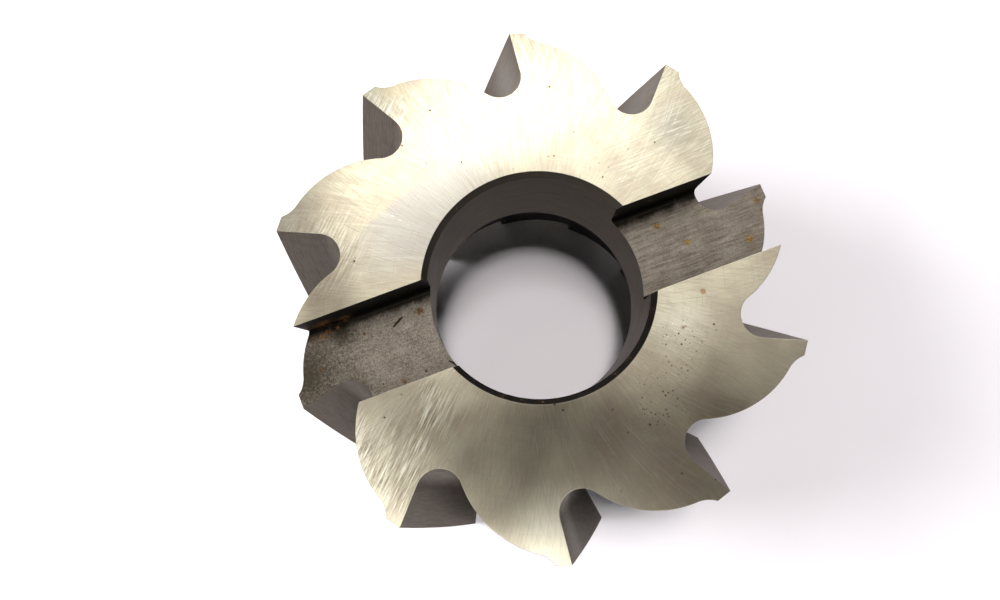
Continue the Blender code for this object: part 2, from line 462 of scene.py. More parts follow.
def body_tree(finishes):
    """The tree that repeats the pitch round the bore, carries it up the helix and makes the cuts."""
    tree = bpy.data.node_groups.new("milled_body", "GeometryNodeTree")
    sockets = {}
    wanted = [
        ("Pitch line", "Geometry"),
        ("Teeth", "Int"),
        ("Length", "Float"),
        ("End stock", "Float"),
        ("Layers", "Int"),
        ("Front tooth angle", "Float"),
        ("Turn per height", "Float"),
        ("Bore plug", "Object"),
        ("Slot bar", "Object"),
        ("Gash wedge", "Object"),
    ]
    for name, kind in wanted:
        kind = "NodeSocket" + kind
        sockets[name] = tree.interface.new_socket(name, in_out="INPUT", socket_type=kind)
    tree.interface.new_socket("Body", in_out="OUTPUT", socket_type="NodeSocketGeometry")
    board = Board(tree)
    given = board.add("NodeGroupInput")
    inputs = {name: Value(board, given.outputs[name]) for name in sockets}

    def spread(shape, every=1, first=0):
        """Copies of a shape round the bore: one for each tooth, or for every other tooth."""
        places = board.node("GeometryNodePoints", None, {"Count": inputs["Teeth"] / every})
        tooth = board.node("GeometryNodeInputIndex") * every + first
        turn = board.vector(z=tooth * (math.tau / inputs["Teeth"]))
        rotation = board.node("FunctionNodeEulerToRotation", None, {"Euler": turn})
        values = {"Points": places, "Instance": shape, "Rotation": rotation}
        return board.node("GeometryNodeInstanceOnPoints", None, values)

    def helper(name):
        values = {"Object": inputs[name]}
        return board.node("GeometryNodeObjectInfo", None, values, output="Geometry")

    ring = board.node("GeometryNodeRealizeInstances", None, {0: spread(inputs["Pitch line"])})
    values = {"Geometry": ring, "Distance": OUTLINE_WELD}
    ring = board.node("GeometryNodeMergeByDistance", None, values)
    outline = board.node("GeometryNodeMeshToCurve", None, {0: ring})

    low = board.vector(z=inputs["End stock"] * -1)
    high = board.vector(z=inputs["Length"])
    axis = board.node("GeometryNodeCurvePrimitiveLine", None, {"Start": low, "End": high})
    values = {"Curve": axis, "Count": inputs["Layers"]}
    axis = board.node("GeometryNodeResampleCurve", None, values)
    height = board.parts(board.node("GeometryNodeInputPosition"))[2]
    tilt = inputs["Front tooth angle"] - height * inputs["Turn per height"]
    axis = board.node("GeometryNodeSetCurveTilt", None, {"Curve": axis, "Tilt": tilt})
    values = {"Curve": axis, "Profile Curve": outline, "Fill Caps": True}
    body = board.node("GeometryNodeCurveToMesh", None, values)

    # Neighbouring gashes overlap, so every other one is cut at a time
    wedge = helper("Gash wedge")
    gashes = [spread(wedge, every=2, first=0), spread(wedge, every=2, first=1)]
    cut = {"operation": "DIFFERENCE", "solver": "MANIFOLD"}
    for cutter in [helper("Bore plug"), helper("Slot bar"), *gashes]:
        body = board.node("GeometryNodeMeshBoolean", cut, {0: body, 1: cutter})

    body = board.node("GeometryNodeRealizeInstances", None, {0: body})
    for finish, where in surfaces(board, finishes):
        values = {"Geometry": body, "Selection": where, "Material": finish}
        body = board.node("GeometryNodeSetMaterial", None, values)
    board.add("NodeGroupOutput", None, {0: body})
    return tree, {name: made.identifier for name, made in sockets.items()}


def milled_body(finishes):
    """The body as a plain mesh that stands for the solid."""
    body = pitch_line()
    helpers = {"Bore plug": bore_plug(), "Slot bar": slot_bar(), "Gash wedge": gash_wedge()}
    tree, identifiers = body_tree(finishes)
    body.name = "milled_body"
    modifier = body.modifiers.new("milled_body", "NODES")
    modifier.node_group = tree
    sizes = {
        "Teeth": TOOTH_COUNT,
        "Length": CUTTER_LENGTH,
        "End stock": END_STOCK,
        "Layers": HELIX_LAYERS,
        "Front tooth angle": FRONT_TOOTH_ANGLE,
        "Turn per height": TURN_PER_HEIGHT,
        **helpers,
    }
    for name, size in sizes.items():
        modifier[identifiers[name]] = size
    graph = bpy.context.evaluated_depsgraph_get()
    mesh = bpy.data.meshes.new_from_object(body.evaluated_get(graph))
    body.modifiers.clear()
    body.data = mesh
    mesh.name = body.name
    for helper in helpers.values():
        bpy.data.objects.remove(helper, do_unlink=True)
    mesh.shade_smooth()
    mesh.set_sharp_from_angle(angle=SHARP_EDGE_ANGLE)
    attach(body, "root")
    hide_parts(NODE)
    return body


# What lies loose on the mill


def strip_mesh(name, spine, half_width, thickness, finish):
    """A thin closed strip of steel along a bent line, narrowing to both ends."""
    bm = bmesh.new()
    rows = []
    for i, point in enumerate(spine):
        before = spine[max(i - 1, 0)]
        after = spine[min(i + 1, len(spine) - 1)]
        forward = (after - before).normalized()
        side = Vector((-forward.y, forward.x, 0)).normalized()
        share = i / (len(spine) - 1)
        swell = math.sin(math.pi * (BIT_BLUNTNESS + (1 - 2 * BIT_BLUNTNESS) * share))
        taper = BIT_TIP_SHARE + (1 - BIT_TIP_SHARE) * swell
        reach = side * half_width * taper
        lift = Vector((0, 0, thickness * taper / 2))
        corners = (
            point + reach + lift,
            point - reach + lift,
            point - reach - lift,
            point + reach - lift,
        )
        rows.append([bm.verts.new(corner) for corner in corners])
    for row, following in zip(rows, rows[1:]):
        for j in range(len(row)):
            bm.faces.new((row[j], row[j - 1], following[j - 1], following[j]))
    bm.faces.new(rows[0])
    bm.faces.new(rows[-1])
    made = closed_object(name, bm)
    made.data.materials.append(finish)
    made.data.shade_smooth()
    made.data.set_sharp_from_angle(angle=SHARP_EDGE_ANGLE)
    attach(made, "root")
    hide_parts(NODE)
    return made


def curl(start, turn, bend, length, rise, pieces=10):
    """Points along a line that sets out at this angle, and bends and rises on the way."""
    step = length / pieces
    points = [Vector(start)]
    heading = turn
    for i in range(pieces):
        heading += bend / pieces
        along = direction(heading) * step
        climb = rise * math.cos(math.pi * i / pieces) / pieces
        points.append(points[-1] + Vector((along.x, along.y, climb)))
    return points


def loose_bits(finish):
    """A burr left at the edge of the bore and a fine chip on the slot floor."""
    for name, start, turn, bend, length, rise, half_width, thickness in LOOSE_BITS:
        x, y, over_floor = start
        place = (x * MM, y * MM, SLOT_FLOOR + over_floor * MM)
        spine = curl(place, math.radians(turn), math.radians(bend), length * MM, rise * MM)
        strip_mesh(name, spine, half_width * MM, thickness * MM, finish)


# Places on the mill, in millimetres
ON_FACE = 44.4
ON_SLOT_FLOOR = 37.3


def places_at(height, *spots):
    """Places at one height, given by x, y and how far each reaches."""
    return [(x, y, height, reach) for x, y, reach in spots]


SLOT_RUST = places_at(
    ON_SLOT_FLOOR, (20.6, 3.4, 0.5), (24.0, -0.5, 0.5), (33.0, -3.4, 0.65), (36.4, 1.8, 0.5),
    (-17.2, 3.7, 0.6), (-31.9, 5.1, 0.6), (-30.9, 5.5, 0.55), (-29.4, 5.6, 0.35),
    (-33.4, 5.4, 0.35), (-26.0, 3.4, 0.28), (-33.8, 0.6, 0.3), (-19.3, -5.0, 0.25),
    (-22.8, -5.3, 0.4), (-25.8, -4.6, 0.2), (-29.6, -3.2, 0.4),
)
# Darker patches on the slot floor, towards its -x end
SLOT_DARK_PATCHES = places_at(ON_SLOT_FLOOR, (-36.0, 0.5, 9.5), (-32.0, -5.5, 7.5), (-29.0, 4.8, 4.0))
WALL_RUST = [
    (14.8, 6.5, 40.0, 0.5), (20.0, 6.5, 41.5, 0.45), (-28.0, 6.5, 38.6, 1.6),
    (-31.0, 6.5, 39.5, 2.2), (-34.5, 6.5, 40.5, 2.0),
]
FACE_RUST = places_at(ON_FACE, (21.2, -8.9, 0.55), (16.6, -12.6, 0.3), (25.5, -15.4, 0.35))
FLUTE_RUST = [(-10.6, 28.6, 43.6, 0.7), (8.4, 29.4, 43.4, 0.5), (26.0, 20.4, 43.5, 0.6)]
# Painted highlights on the flutes, where they reflect the lit floor
FLUTE_PAINTED_HIGHLIGHTS = [(4.5, 32.0, 37.0, 11.0), (20.5, 25.0, 37.0, 13.0), (-7.0, -33.0, 37.0, 8.0)]
FACE_PITS = places_at(
    ON_FACE, (15.0, -15.4, 5.0), (9.2, -20.8, 5.0), (1.8, 16.8, 1.6), (14.2, 12.6, 2.0),
)
# Painted highlights: places where the face is painted brighter, as if it reflected more light
FACE_PAINTED_HIGHLIGHT = places_at(
    ON_FACE, (-31.2, -12.0, 5.0), (-30.5, -19.5, 3.0), (-11.0, -32.0, 8.0), (16.8, -12.0, 7.0),
)
# Painted shade: places where the face is painted duller, as if it reflected less light
FACE_PAINTED_SHADE = places_at(
    ON_FACE, (-11.0, 35.0, 8.5), (-33.0, 20.0, 9.0), (-30.0, 24.5, 7.0), (26.0, 15.0, 6.0),
)
FACE_BROWN = places_at(ON_FACE, (7.5, -30.0, 12.0), (1.5, -24.5, 9.0), (16.0, -27.0, 8.0))
FACE_HATCH = places_at(
    ON_FACE, (-27.0, 15.5, 9.0), (-13.0, 31.0, 7.0), (-27.5, -15.0, 9.0), (-19.5, -11.5, 6.0),
)
# Glint bands: here the hatch lines are painted as glints, pale and dark in turn, and their relief is
# deeper
FACE_GLINT = places_at(
    ON_FACE, (-30.2, -9.0, 2.6), (-31.0, -13.0, 3.0), (-30.0, -17.0, 3.2), (-28.5, -21.0, 3.2),
    (-19.0, -8.6, 2.2), (-21.0, -12.0, 2.2), (-23.2, -15.2, 2.2), (-26.0, -18.4, 2.4),
)
SLOT_SIDE_HATCH = places_at(ON_FACE, (27.0, 13.0, 11.0), (20.0, 12.0, 8.0), (30.0, 20.0, 8.0))
FACE_STAINS = places_at(
    ON_FACE, (-5.6, 30.2, 4.5), (-9.5, 35.0, 3.5), (-4.0, 24.0, 3.0), (14.5, 28.2, 5.0),
    (19.8, 26.2, 3.0),
)
BORE_SMUDGE = [(-3.8, 15.4, 36.4, 1.9)]

# The edge of a painted reflection on the face, which parts the steel near the bore, painted greyer as
# if out of the reflected light, from brighter steel outside it
REFLECTION_EDGE_POINT = (-14.8, 18.7)
REFLECTION_EDGE_TURN = math.radians(21)
HATCH_TURN = math.radians(44)
SLOT_HATCH_TURN = math.radians(2)

# Colours

# Rust, from fresh to old, and the rust on black scale
OCHRE = (0.32, 0.20, 0.035, 1)
RUST = (0.15, 0.072, 0.022, 1)
DARK_RUST = (0.075, 0.034, 0.014, 1)
SCALE_RUST = (0.10, 0.05, 0.02, 1)
SCALE_RUST_PALE = (0.24, 0.14, 0.05, 1)

# Old steel seen at a low angle is browner than clean steel
GRAZING_TINT = (0.76, 0.69, 0.61, 1)
BORED_TINT = (0.87, 0.83, 0.78, 1)

FACE_STEEL = (0.60, 0.53, 0.39, 1)
FACE_STEEL_PALE = (0.76, 0.70, 0.51, 1)
# Painted shade near the bore, out of the reflected light
FACE_PAINTED_REFLECTION_SHADE = (0.575, 0.555, 0.50, 1)
# Zones of the face: how strongly each shows, and its colour. The first are painted highlights and the
# second painted shade, where the face reflects more or less light; the third make the steel darker and
# browner on the face's -y side
FACE_ZONES = [
    (FACE_PAINTED_HIGHLIGHT, 0.9, (1.0, 0.95, 0.75, 1)),
    (FACE_PAINTED_SHADE, 0.7, (0.40, 0.40, 0.33, 1)),
    (FACE_BROWN, 0.8, (0.36, 0.29, 0.205, 1)),
]
FACE_PINK_BLOOM = (0.60, 0.50, 0.42, 1)
FACE_GREEN_BLOOM = (0.66, 0.68, 0.50, 1)
FACE_FINE_MARK = (0.38, 0.33, 0.25, 1)
FACE_STROKE_DARK = (0.44, 0.38, 0.28, 1)
FACE_STROKE_PALE = (0.88, 0.85, 0.70, 1)
FACE_RING = (0.42, 0.36, 0.28, 1)
# Dark and pale hatch lines, and in the glint bands the painted glints and the gaps between them
FACE_HATCH_DARK_AND_GLINT_GAP = (0.26, 0.22, 0.155, 1)
FACE_HATCH_PALE_AND_GLINT = (1.0, 0.98, 0.80, 1)
SLOT_HATCH_DARK = (0.34, 0.29, 0.21, 1)
SLOT_HATCH_PALE = (0.96, 0.93, 0.76, 1)
FACE_GRAIN = (0.42, 0.36, 0.28, 1)
FACE_STAIN = (0.80, 0.66, 0.36, 1)
FACE_EDGE = (0.86, 0.83, 0.74, 1)
FACE_RUST_COLOR = (0.46, 0.30, 0.17, 1)
FACE_PIT = (0.06, 0.04, 0.025, 1)

SLOT_STEEL = (0.25, 0.215, 0.172, 1)
SLOT_STEEL_PALE = (0.40, 0.355, 0.29, 1)
SLOT_LINE_DARK = (0.13, 0.10, 0.075, 1)
SLOT_LINE_PALE = (0.52, 0.47, 0.39, 1)
SLOT_PINK_TINT = (0.33, 0.22, 0.19, 1)
SLOT_GREEN_TINT = (0.24, 0.26, 0.17, 1)
SLOT_GRAIN = (0.12, 0.09, 0.065, 1)
SLOT_SPECK_DARK = (0.08, 0.055, 0.04, 1)
SLOT_SPECK_PALE = (0.58, 0.54, 0.46, 1)
SLOT_DARK_PATCH = (0.06, 0.048, 0.032, 1)
SLOT_RUST_HALO = (0.22, 0.16, 0.08, 1)
SLOT_EDGE = (0.6, 0.57, 0.5, 1)
SLOT_BLACK = (0.012, 0.009, 0.006, 1)

FLUTE_EDGE = (0.52, 0.50, 0.43, 1)
# Colour of the painted highlights on the flutes
FLUTE_PAINTED_HIGHLIGHT_COLOR = (0.20, 0.195, 0.175, 1)
SCALE_EDGE = (0.4, 0.36, 0.3, 1)
# The far side of the chamfer, painted lighter as painted light
FAR_CHAMFER_PAINTED_LIGHT = (0.045, 0.038, 0.030, 1)
BORE_SMUDGE_COLOR = (0.02, 0.017, 0.014, 1)
BORE_EDGE = (0.5, 0.47, 0.42, 1)
TABLE_PALE = ((0.80, 0.775, 0.80, 1), (0.83, 0.81, 0.83, 1))


def shade_of(color, share):
    """The same hue, darker or lighter, as a colour with its alpha."""
    return (*(share * part for part in color), 1)


# Finishes

NOISE_MIDDLE = 0.5
BEVEL_SAMPLES = 6
BORDER_GRAIN = 0.45 * MM
BORDER_SWING = 5


class Finish:
    """A material under construction, with the places that its patterns are laid out by."""

    def __init__(self, name, **constants):
        self.material = bpy.data.materials.new(name)
        self.material.use_nodes = True
        self.board = Board(self.material.node_tree)
        self.shader = self.material.node_tree.nodes["Principled BSDF"]
        for constant, value in constants.items():
            socket = constant.replace("_", " ").title().replace("Ior", "IOR")
            self.shader.inputs[socket].default_value = value
        self.place = self.board.node("ShaderNodeTexCoord", None, None, output="Object")
        self.x, self.y, self.z = self.board.parts(self.place)
        self.radius = (self.x * self.x + self.y * self.y).root()

    def vary(self, name, value):
        self.board.tree.links.new(value.socket, self.shader.inputs[name])

    def paint(self, color, *layers):
        """Colours laid over the first one in turn, each as far as its mask says."""
        for mask, over in layers:
            color = self.board.blend(mask, color, over)
        self.vary("Base Color", color)

    def bearing(self, twist_per_radius=0.0, turn_per_height=0.0):
        """The angle round the bore, less the twist of some marks."""
        sides = {0: self.y, 1: self.x}
        angle = self.board.node("ShaderNodeMath", {"operation": "ARCTAN2"}, sides)
        return angle + self.radius * twist_per_radius + self.z * turn_per_height

    def round_marks(self, angle, across, along, detail, roughness):
        """Noise round the bore, with this many marks to a radian."""
        spot = self.board.vector(angle.cosine() * across, angle.sine() * across, along)
        return self.board.noise(spot, 1.0, detail, roughness)

    def spokes(self, angle, count, length, detail, roughness):
        """Marks drawn out along the radius: this many to a radian and this long."""
        return self.round_marks(angle, count, self.radius / length, detail, roughness)

    def helix_lines(self, width, length, detail=3.0, roughness=0.65):
        """Marks drawn out along the helix of the teeth."""
        angle = self.bearing(turn_per_height=TURN_PER_HEIGHT)
        return self.round_marks(angle, self.radius / width, self.z / length, detail, roughness)

    def straight_lines(self, turn, width, length, detail=3.0, roughness=0.65):
        """Noise drawn out along straight lines across the face, in this direction."""
        along = self.x * math.cos(turn) + self.y * math.sin(turn)
        across = self.y * math.cos(turn) - self.x * math.sin(turn)
        spot = self.board.vector(across / width, along / length, self.z / length)
        return self.board.noise(spot, 1.0, detail, roughness)

    def cloud(self, size, detail=3.0, roughness=0.65):
        """Noise with patches of this size."""
        return self.board.noise(self.place, 1 / size, detail, roughness)

    def near(self, places, ragged=0.35, softness=0.5):
        """From 0 away from all the places to 1 on them, with a ragged border."""
        grain = self.cloud(BORDER_GRAIN, detail=5.0, roughness=0.8).swing() * (BORDER_SWING * ragged)
        measure = {"operation": "DISTANCE"}
        found = None
        for x, y, z, reach in places:
            values = {0: self.place, 1: (x * MM, y * MM, z * MM)}
            away = self.board.node("ShaderNodeVectorMath", measure, values, output="Value")
            mask = (away / (reach * MM) + grain).ramp(1.0, 1.0 - softness)
            found = mask if found is None else found.most(mask)
        return found

    def pits(self, size, share, seed=0.0):
        """Tiny round pits, in the given share of cells of this size."""
        values = {0: self.place, 1: (seed, seed, seed)}
        place = self.board.node("ShaderNodeVectorMath", {"operation": "ADD"}, values)
        cell = self.board.add("ShaderNodeTexVoronoi", None, {"Vector": place, "Scale": 1 / size})
        distance = Value(self.board, cell.outputs["Distance"])
        chosen = self.board.parts(Value(self.board, cell.outputs["Color"]))[0] < share
        return distance.ramp(0.28, 0.12) * chosen

    def rounded(self, radius):
        """The surface's normal, with edges rounded to this radius."""
        return self.board.node("ShaderNodeBevel", {"samples": BEVEL_SAMPLES}, {"Radius": radius})

    def worn_edge(self, width):
        """From 0 on the flats to 1 on a sharp edge."""
        flat = self.board.node("ShaderNodeNewGeometry", None, None, output="Normal")
        values = {0: self.rounded(width), 1: flat}
        compare = {"operation": "DOT_PRODUCT"}
        aligned = self.board.node("ShaderNodeVectorMath", compare, values, output="Value")
        return (1 - aligned).ramp(0.01, 0.16)

    def add_haze(self, share, roughness):
        """A second, softer shine mixed into the first, as ground steel has."""
        tree = self.material.node_tree
        haze = self.board.add("ShaderNodeBsdfPrincipled", None, {"Roughness": roughness})
        for name in ("Metallic", "Anisotropic"):
            haze.inputs[name].default_value = self.shader.inputs[name].default_value
        for name in ("Base Color", "Normal"):
            tree.links.new(self.shader.inputs[name].links[0].from_socket, haze.inputs[name])
        mixed = self.board.add("ShaderNodeMixShader", None, {0: share})
        tree.links.new(self.shader.outputs[0], mixed.inputs[1])
        tree.links.new(haze.outputs[0], mixed.inputs[2])
        tree.links.new(mixed.outputs[0], tree.nodes["Material Output"].inputs["Surface"])

    def relief(self, height, strength, depth, rounding):
        """The fine relief of the surface, over edges rounded to this radius."""
        values = {"Strength": strength, "Distance": depth, "Height": height}
        values["Normal"] = self.rounded(rounding)
        self.vary("Normal", self.board.node("ShaderNodeBump", None, values))


def painted_reflection_shade(finish):
    """From 0 to 1 on the steel painted greyer between the bore and the edge of the painted reflection.
    """
    x, y = REFLECTION_EDGE_POINT
    turn = REFLECTION_EDGE_TURN
    below_line = (finish.x - x * MM) * math.sin(turn) - (finish.y - y * MM) * math.cos(turn)
    inside = below_line.ramp(-0.3 * MM, 0.5 * MM) * (finish.x * -1).ramp(-6 * MM, 6 * MM)
    return inside * finish.y.ramp(6 * MM, 12 * MM) * finish.x.ramp(-26 * MM, -16 * MM)


def ground_drive_face():
    """The driving end: bright steel with fine grinding marks that fan out from the bore."""
    finish = Finish("ground_drive_face", metallic=1.0, anisotropic=0.9)
    board = finish.board
    angle = finish.bearing(twist_per_radius=5.0)
    sweep = finish.bearing(twist_per_radius=-9.0)
    fine = finish.spokes(angle, 200, 5 * MM, detail=2.0, roughness=0.6)
    strokes = finish.spokes(sweep, 105, 7 * MM, detail=2.0, roughness=0.55)
    rings = finish.round_marks(angle, 4, finish.radius / (0.24 * MM), detail=2.0, roughness=0.5)
    hatch = finish.straight_lines(HATCH_TURN, 0.26 * MM, 4 * MM)
    crossed = finish.near(FACE_HATCH, ragged=0.25, softness=0.9)
    glint = finish.near(FACE_GLINT, ragged=0.2, softness=0.9)
    slot_hatch = finish.straight_lines(SLOT_HATCH_TURN, 0.26 * MM, 5 * MM)
    slot_crossed = finish.near(SLOT_SIDE_HATCH, ragged=0.2, softness=0.9)
    grain = finish.cloud(0.22 * MM, detail=2.0, roughness=0.6)
    patch = finish.cloud(5 * MM, detail=5.0, roughness=0.62)
    bloom = finish.cloud(2.2 * MM, detail=3.0, roughness=0.6)
    clusters = finish.near(FACE_PITS, ragged=0.4, softness=0.7)
    dense_pits = finish.pits(0.7 * MM, share=0.45).most(finish.pits(0.5 * MM, share=0.30, seed=0.7))
    pits = (dense_pits * clusters).most(finish.pits(0.8 * MM, share=0.010, seed=0.4))
    rust = finish.near(FACE_RUST)
    # Painted highlights, painted shade and browner steel on the face
    zones = [
        (finish.near(places, ragged=0.08, softness=1.0) * share, steel)
        for places, share, steel in FACE_ZONES
    ]

    finish.paint(
        board.blend(patch.ramp(0.32, 0.68), FACE_STEEL, FACE_STEEL_PALE),
        # Painted shade: the face near the bore is painted greyer, out of the reflected light
        (painted_reflection_shade(finish) * 0.85, FACE_PAINTED_REFLECTION_SHADE),
        *zones,
        (bloom.ramp(0.50, 0.72) * 0.35, FACE_PINK_BLOOM),
        (bloom.ramp(0.48, 0.28) * 0.35, FACE_GREEN_BLOOM),
        (fine.ramp(0.44, 0.70) * 0.42, FACE_FINE_MARK),
        (strokes.ramp(0.50, 0.74) * 0.30, FACE_STROKE_DARK),
        (strokes.ramp(0.46, 0.26) * 0.30, FACE_STROKE_PALE),
        (rings.ramp(0.56, 0.74) * 0.22, FACE_RING),
        # Hatch lines; in the glint bands they are painted glints, pale and dark in turn
        (hatch.ramp(0.50, 0.60) * (crossed * 0.45 + glint * 0.45), FACE_HATCH_DARK_AND_GLINT_GAP),
        (hatch.ramp(0.48, 0.38) * (crossed * 0.6 + glint * 0.7), FACE_HATCH_PALE_AND_GLINT),
        (slot_hatch.ramp(0.52, 0.68) * slot_crossed * 0.4, SLOT_HATCH_DARK),
        (slot_hatch.ramp(0.48, 0.34) * slot_crossed * 0.5, SLOT_HATCH_PALE),
        (grain.ramp(0.5, 0.8) * 0.30, FACE_GRAIN),
        (finish.near(FACE_STAINS, ragged=0.5, softness=1.0) * 0.35, FACE_STAIN),
        (finish.worn_edge(0.12 * MM) * 0.6, FACE_EDGE),
        (rust * 0.9, FACE_RUST_COLOR),
        (pits * 0.9, FACE_PIT),
    )
    roughness = 0.17 + fine.swing() * 0.12 + strokes.swing() * 0.10 + patch.swing() * 0.05
    finish.vary("Roughness", roughness + rust * 0.3)
    height = fine * 0.6 + strokes * 0.55 + rings * 0.03 + grain * 0.05
    height = height + hatch.swing() * (crossed * 0.6 + glint * 4.2)
    finish.relief(height, strength=0.2, depth=0.03 * MM, rounding=0.09 * MM)
    finish.add_haze(0.34, roughness + 0.15)
    return finish.material


def milled_steel(name, dark, light, tarnish, roughness=0.36, shine=1.0, bright=None, rusty=None):
    """A side of the teeth: steel with lines along the helix, tarnish, rust flecks near the top, and
    painted highlights where given.
    """
    finish = Finish(name, specular_tint=GRAZING_TINT)
    board = finish.board
    lines = finish.helix_lines(0.17 * MM, 4.5 * MM)
    coarse = finish.helix_lines(0.55 * MM, 12 * MM, detail=2.0, roughness=0.6)
    patch = finish.cloud(2.4 * MM, detail=5.0)
    grain = finish.cloud(0.25 * MM)
    near_top = (finish.z - (CUTTER_LENGTH - 5 * MM)).ramp(0, 4.5 * MM)
    rust = finish.pits(0.8 * MM, share=0.07) * near_top
    layers = [
        (patch.ramp(0.44, 0.30) * 0.6, (*tarnish, 1)),
        (lines.ramp(0.45, 0.72) * 0.55, shade_of(dark, 0.42)),
        (coarse.ramp(0.52, 0.72) * 0.35, shade_of(dark, 0.55)),
        (grain.ramp(0.52, 0.74) * 0.35, (*tarnish, 1)),
        (finish.worn_edge(0.10 * MM) * 0.75, FLUTE_EDGE),
    ]
    # Painted highlights: the steel is painted brighter at the given places
    if bright:
        brighter = finish.near(bright, ragged=0.1, softness=1.0)
        layers.append((brighter * 0.8, FLUTE_PAINTED_HIGHLIGHT_COLOR))
    if rusty:
        rust = rust.most(finish.near(rusty))
    steel = board.blend(patch.ramp(0.34, 0.66), (*dark, 1), (*light, 1))
    finish.paint(steel, *layers, (rust * 0.8, RUST))
    finish.vary("Roughness", roughness + lines.swing() * 0.2 + patch.swing() * 0.15 + rust * 0.3)
    finish.vary("Metallic", shine - rust * 0.6)
    height = lines + coarse * 0.8 + patch * 0.4 + grain * 0.3
    finish.relief(height, strength=0.25, depth=0.03 * MM, rounding=0.08 * MM)
    return finish.material


def slot_floor_steel():
    """The floor of the drive slot: speckled grey, black at the far wall, with blotches and rust."""
    finish = Finish("slot_floor_steel", metallic=1.0)
    board = finish.board
    lines = finish.straight_lines(0, 0.30 * MM, 4 * MM, detail=4.0)
    right = finish.x.ramp(-5 * MM, 15 * MM)
    patch = finish.cloud(2.6 * MM, detail=5.0)
    grain = finish.cloud(0.30 * MM)
    speckle = finish.cloud(0.17 * MM, detail=1.0, roughness=0.5)
    tint = finish.cloud(0.42 * MM, detail=2.0, roughness=0.6)
    from_wall = SLOT_WIDTH / 2 - SLOT_CORNER_RADIUS - finish.y
    shade = (from_wall + patch.swing() * (1.6 * MM)).ramp(1.3 * MM, -0.1 * MM)
    halo_places = [(x, y, z, 2.2 * reach) for x, y, z, reach in SLOT_RUST]
    rust = finish.near(SLOT_RUST, ragged=0.6)
    fresh = board.blend(right, RUST, OCHRE)
    old = board.blend(right, DARK_RUST, RUST)

    finish.paint(
        board.blend(patch.ramp(0.3, 0.7), SLOT_STEEL, SLOT_STEEL_PALE),
        (lines.ramp(0.48, 0.68) * (right * 0.35 + 0.30), SLOT_LINE_DARK),
        (lines.ramp(0.46, 0.30) * (right * 0.35 + 0.25), SLOT_LINE_PALE),
        (tint.ramp(0.52, 0.66) * 0.45, SLOT_PINK_TINT),
        (tint.ramp(0.48, 0.34) * 0.40, SLOT_GREEN_TINT),
        (grain.ramp(0.48, 0.70) * (0.55 - right * 0.25), SLOT_GRAIN),
        (speckle.ramp(0.56, 0.70) * (0.60 - right * 0.35), SLOT_SPECK_DARK),
        (speckle.ramp(0.42, 0.30) * (0.45 - right * 0.25), SLOT_SPECK_PALE),
        # The floor is darker towards the slot's -x end
        (finish.near(SLOT_DARK_PATCHES, ragged=0.4, softness=1.0) * 0.9, SLOT_DARK_PATCH),
        (finish.near(halo_places, ragged=0.5, softness=1.0) * 0.30, SLOT_RUST_HALO),
        (finish.worn_edge(0.10 * MM) * 0.5, SLOT_EDGE),
        (shade * 0.95, SLOT_BLACK),
        (rust * 0.9, board.blend(grain.ramp(0.40, 0.56), fresh, old)),
    )
    finish.vary("Roughness", 0.46 + lines.swing() * 0.15 + patch.swing() * 0.2 + rust * 0.3)
    finish.vary("Metallic", 1 - rust * 0.6)
    height = lines * 0.7 + patch * 0.5 + grain * 0.6 + rust * 1.5
    finish.relief(height, strength=0.3, depth=0.04 * MM, rounding=0.08 * MM)
    return finish.material


def black_scale(name, dark, roughness, rusty=None, far=None):
    """Steel still black from the furnace, with a little rust. The far side may be painted lighter in
    its own colour, as painted light.
    """
    finish = Finish(name, specular_ior_level=0.2)
    board = finish.board
    patch = finish.cloud(1.2 * MM, detail=5.0)
    grain = finish.cloud(0.2 * MM, detail=2.0, roughness=0.5)
    rust = patch.ramp(0.60, 0.72) * 0.5
    if rusty:
        rust = rust.most(finish.near(rusty, ragged=0.5, softness=0.9))
    scale = board.blend(patch.ramp(0.3, 0.7), (*dark, 1), shade_of(dark, 2.0))
    # Painted light: the far side is painted lighter
    if far:
        scale = board.blend((finish.y + finish.x * 0.3).ramp(-4 * MM, 10 * MM), scale, far)
    finish.paint(
        scale,
        (rust, board.blend(grain.ramp(0.4, 0.6), SCALE_RUST, SCALE_RUST_PALE)),
        (finish.worn_edge(0.07 * MM) * 0.35, SCALE_EDGE),
    )
    finish.vary("Metallic", 0.55 - rust * 0.5)
    finish.vary("Roughness", roughness + patch.swing() * 0.25)
    finish.relief(patch + grain * 0.4, strength=0.5, depth=0.05 * MM, rounding=0.06 * MM)
    return finish.material


def turned_steel(name, dark, light, roughness, feed, smudges=None):
    """A bored surface: fine rings round the bore, one to each feed of the tool, and smudges."""
    shine = {"specular_tint": BORED_TINT, "anisotropic": 0.5, "anisotropic_rotation": 0.25}
    finish = Finish(name, metallic=1.0, **shine)
    board = finish.board
    profile = finish.z + finish.radius
    rings = finish.round_marks(finish.bearing(), 3, profile / feed, detail=3.0, roughness=0.6)
    patch = finish.cloud(4 * MM, detail=4.0, roughness=0.6)
    grain = finish.cloud(0.3 * MM, detail=2.0, roughness=0.5)
    layers = [(rings.ramp(0.45, 0.75) * 0.4, shade_of(dark, 0.5))]
    if smudges:
        smudge = finish.near(smudges, ragged=0.5, softness=1.0)
        layers.append((smudge * 0.6, BORE_SMUDGE_COLOR))
    steel = board.blend(patch.ramp(0.3, 0.7), (*dark, 1), (*light, 1))
    finish.paint(steel, *layers, (finish.worn_edge(0.10 * MM) * 0.5, BORE_EDGE))
    finish.vary("Roughness", roughness + rings.swing() * 0.25 + patch.swing() * 0.15)
    height = rings + patch * 0.4 + grain * 0.3
    finish.relief(height, strength=0.25, depth=0.03 * MM, rounding=0.08 * MM)
    return finish.material


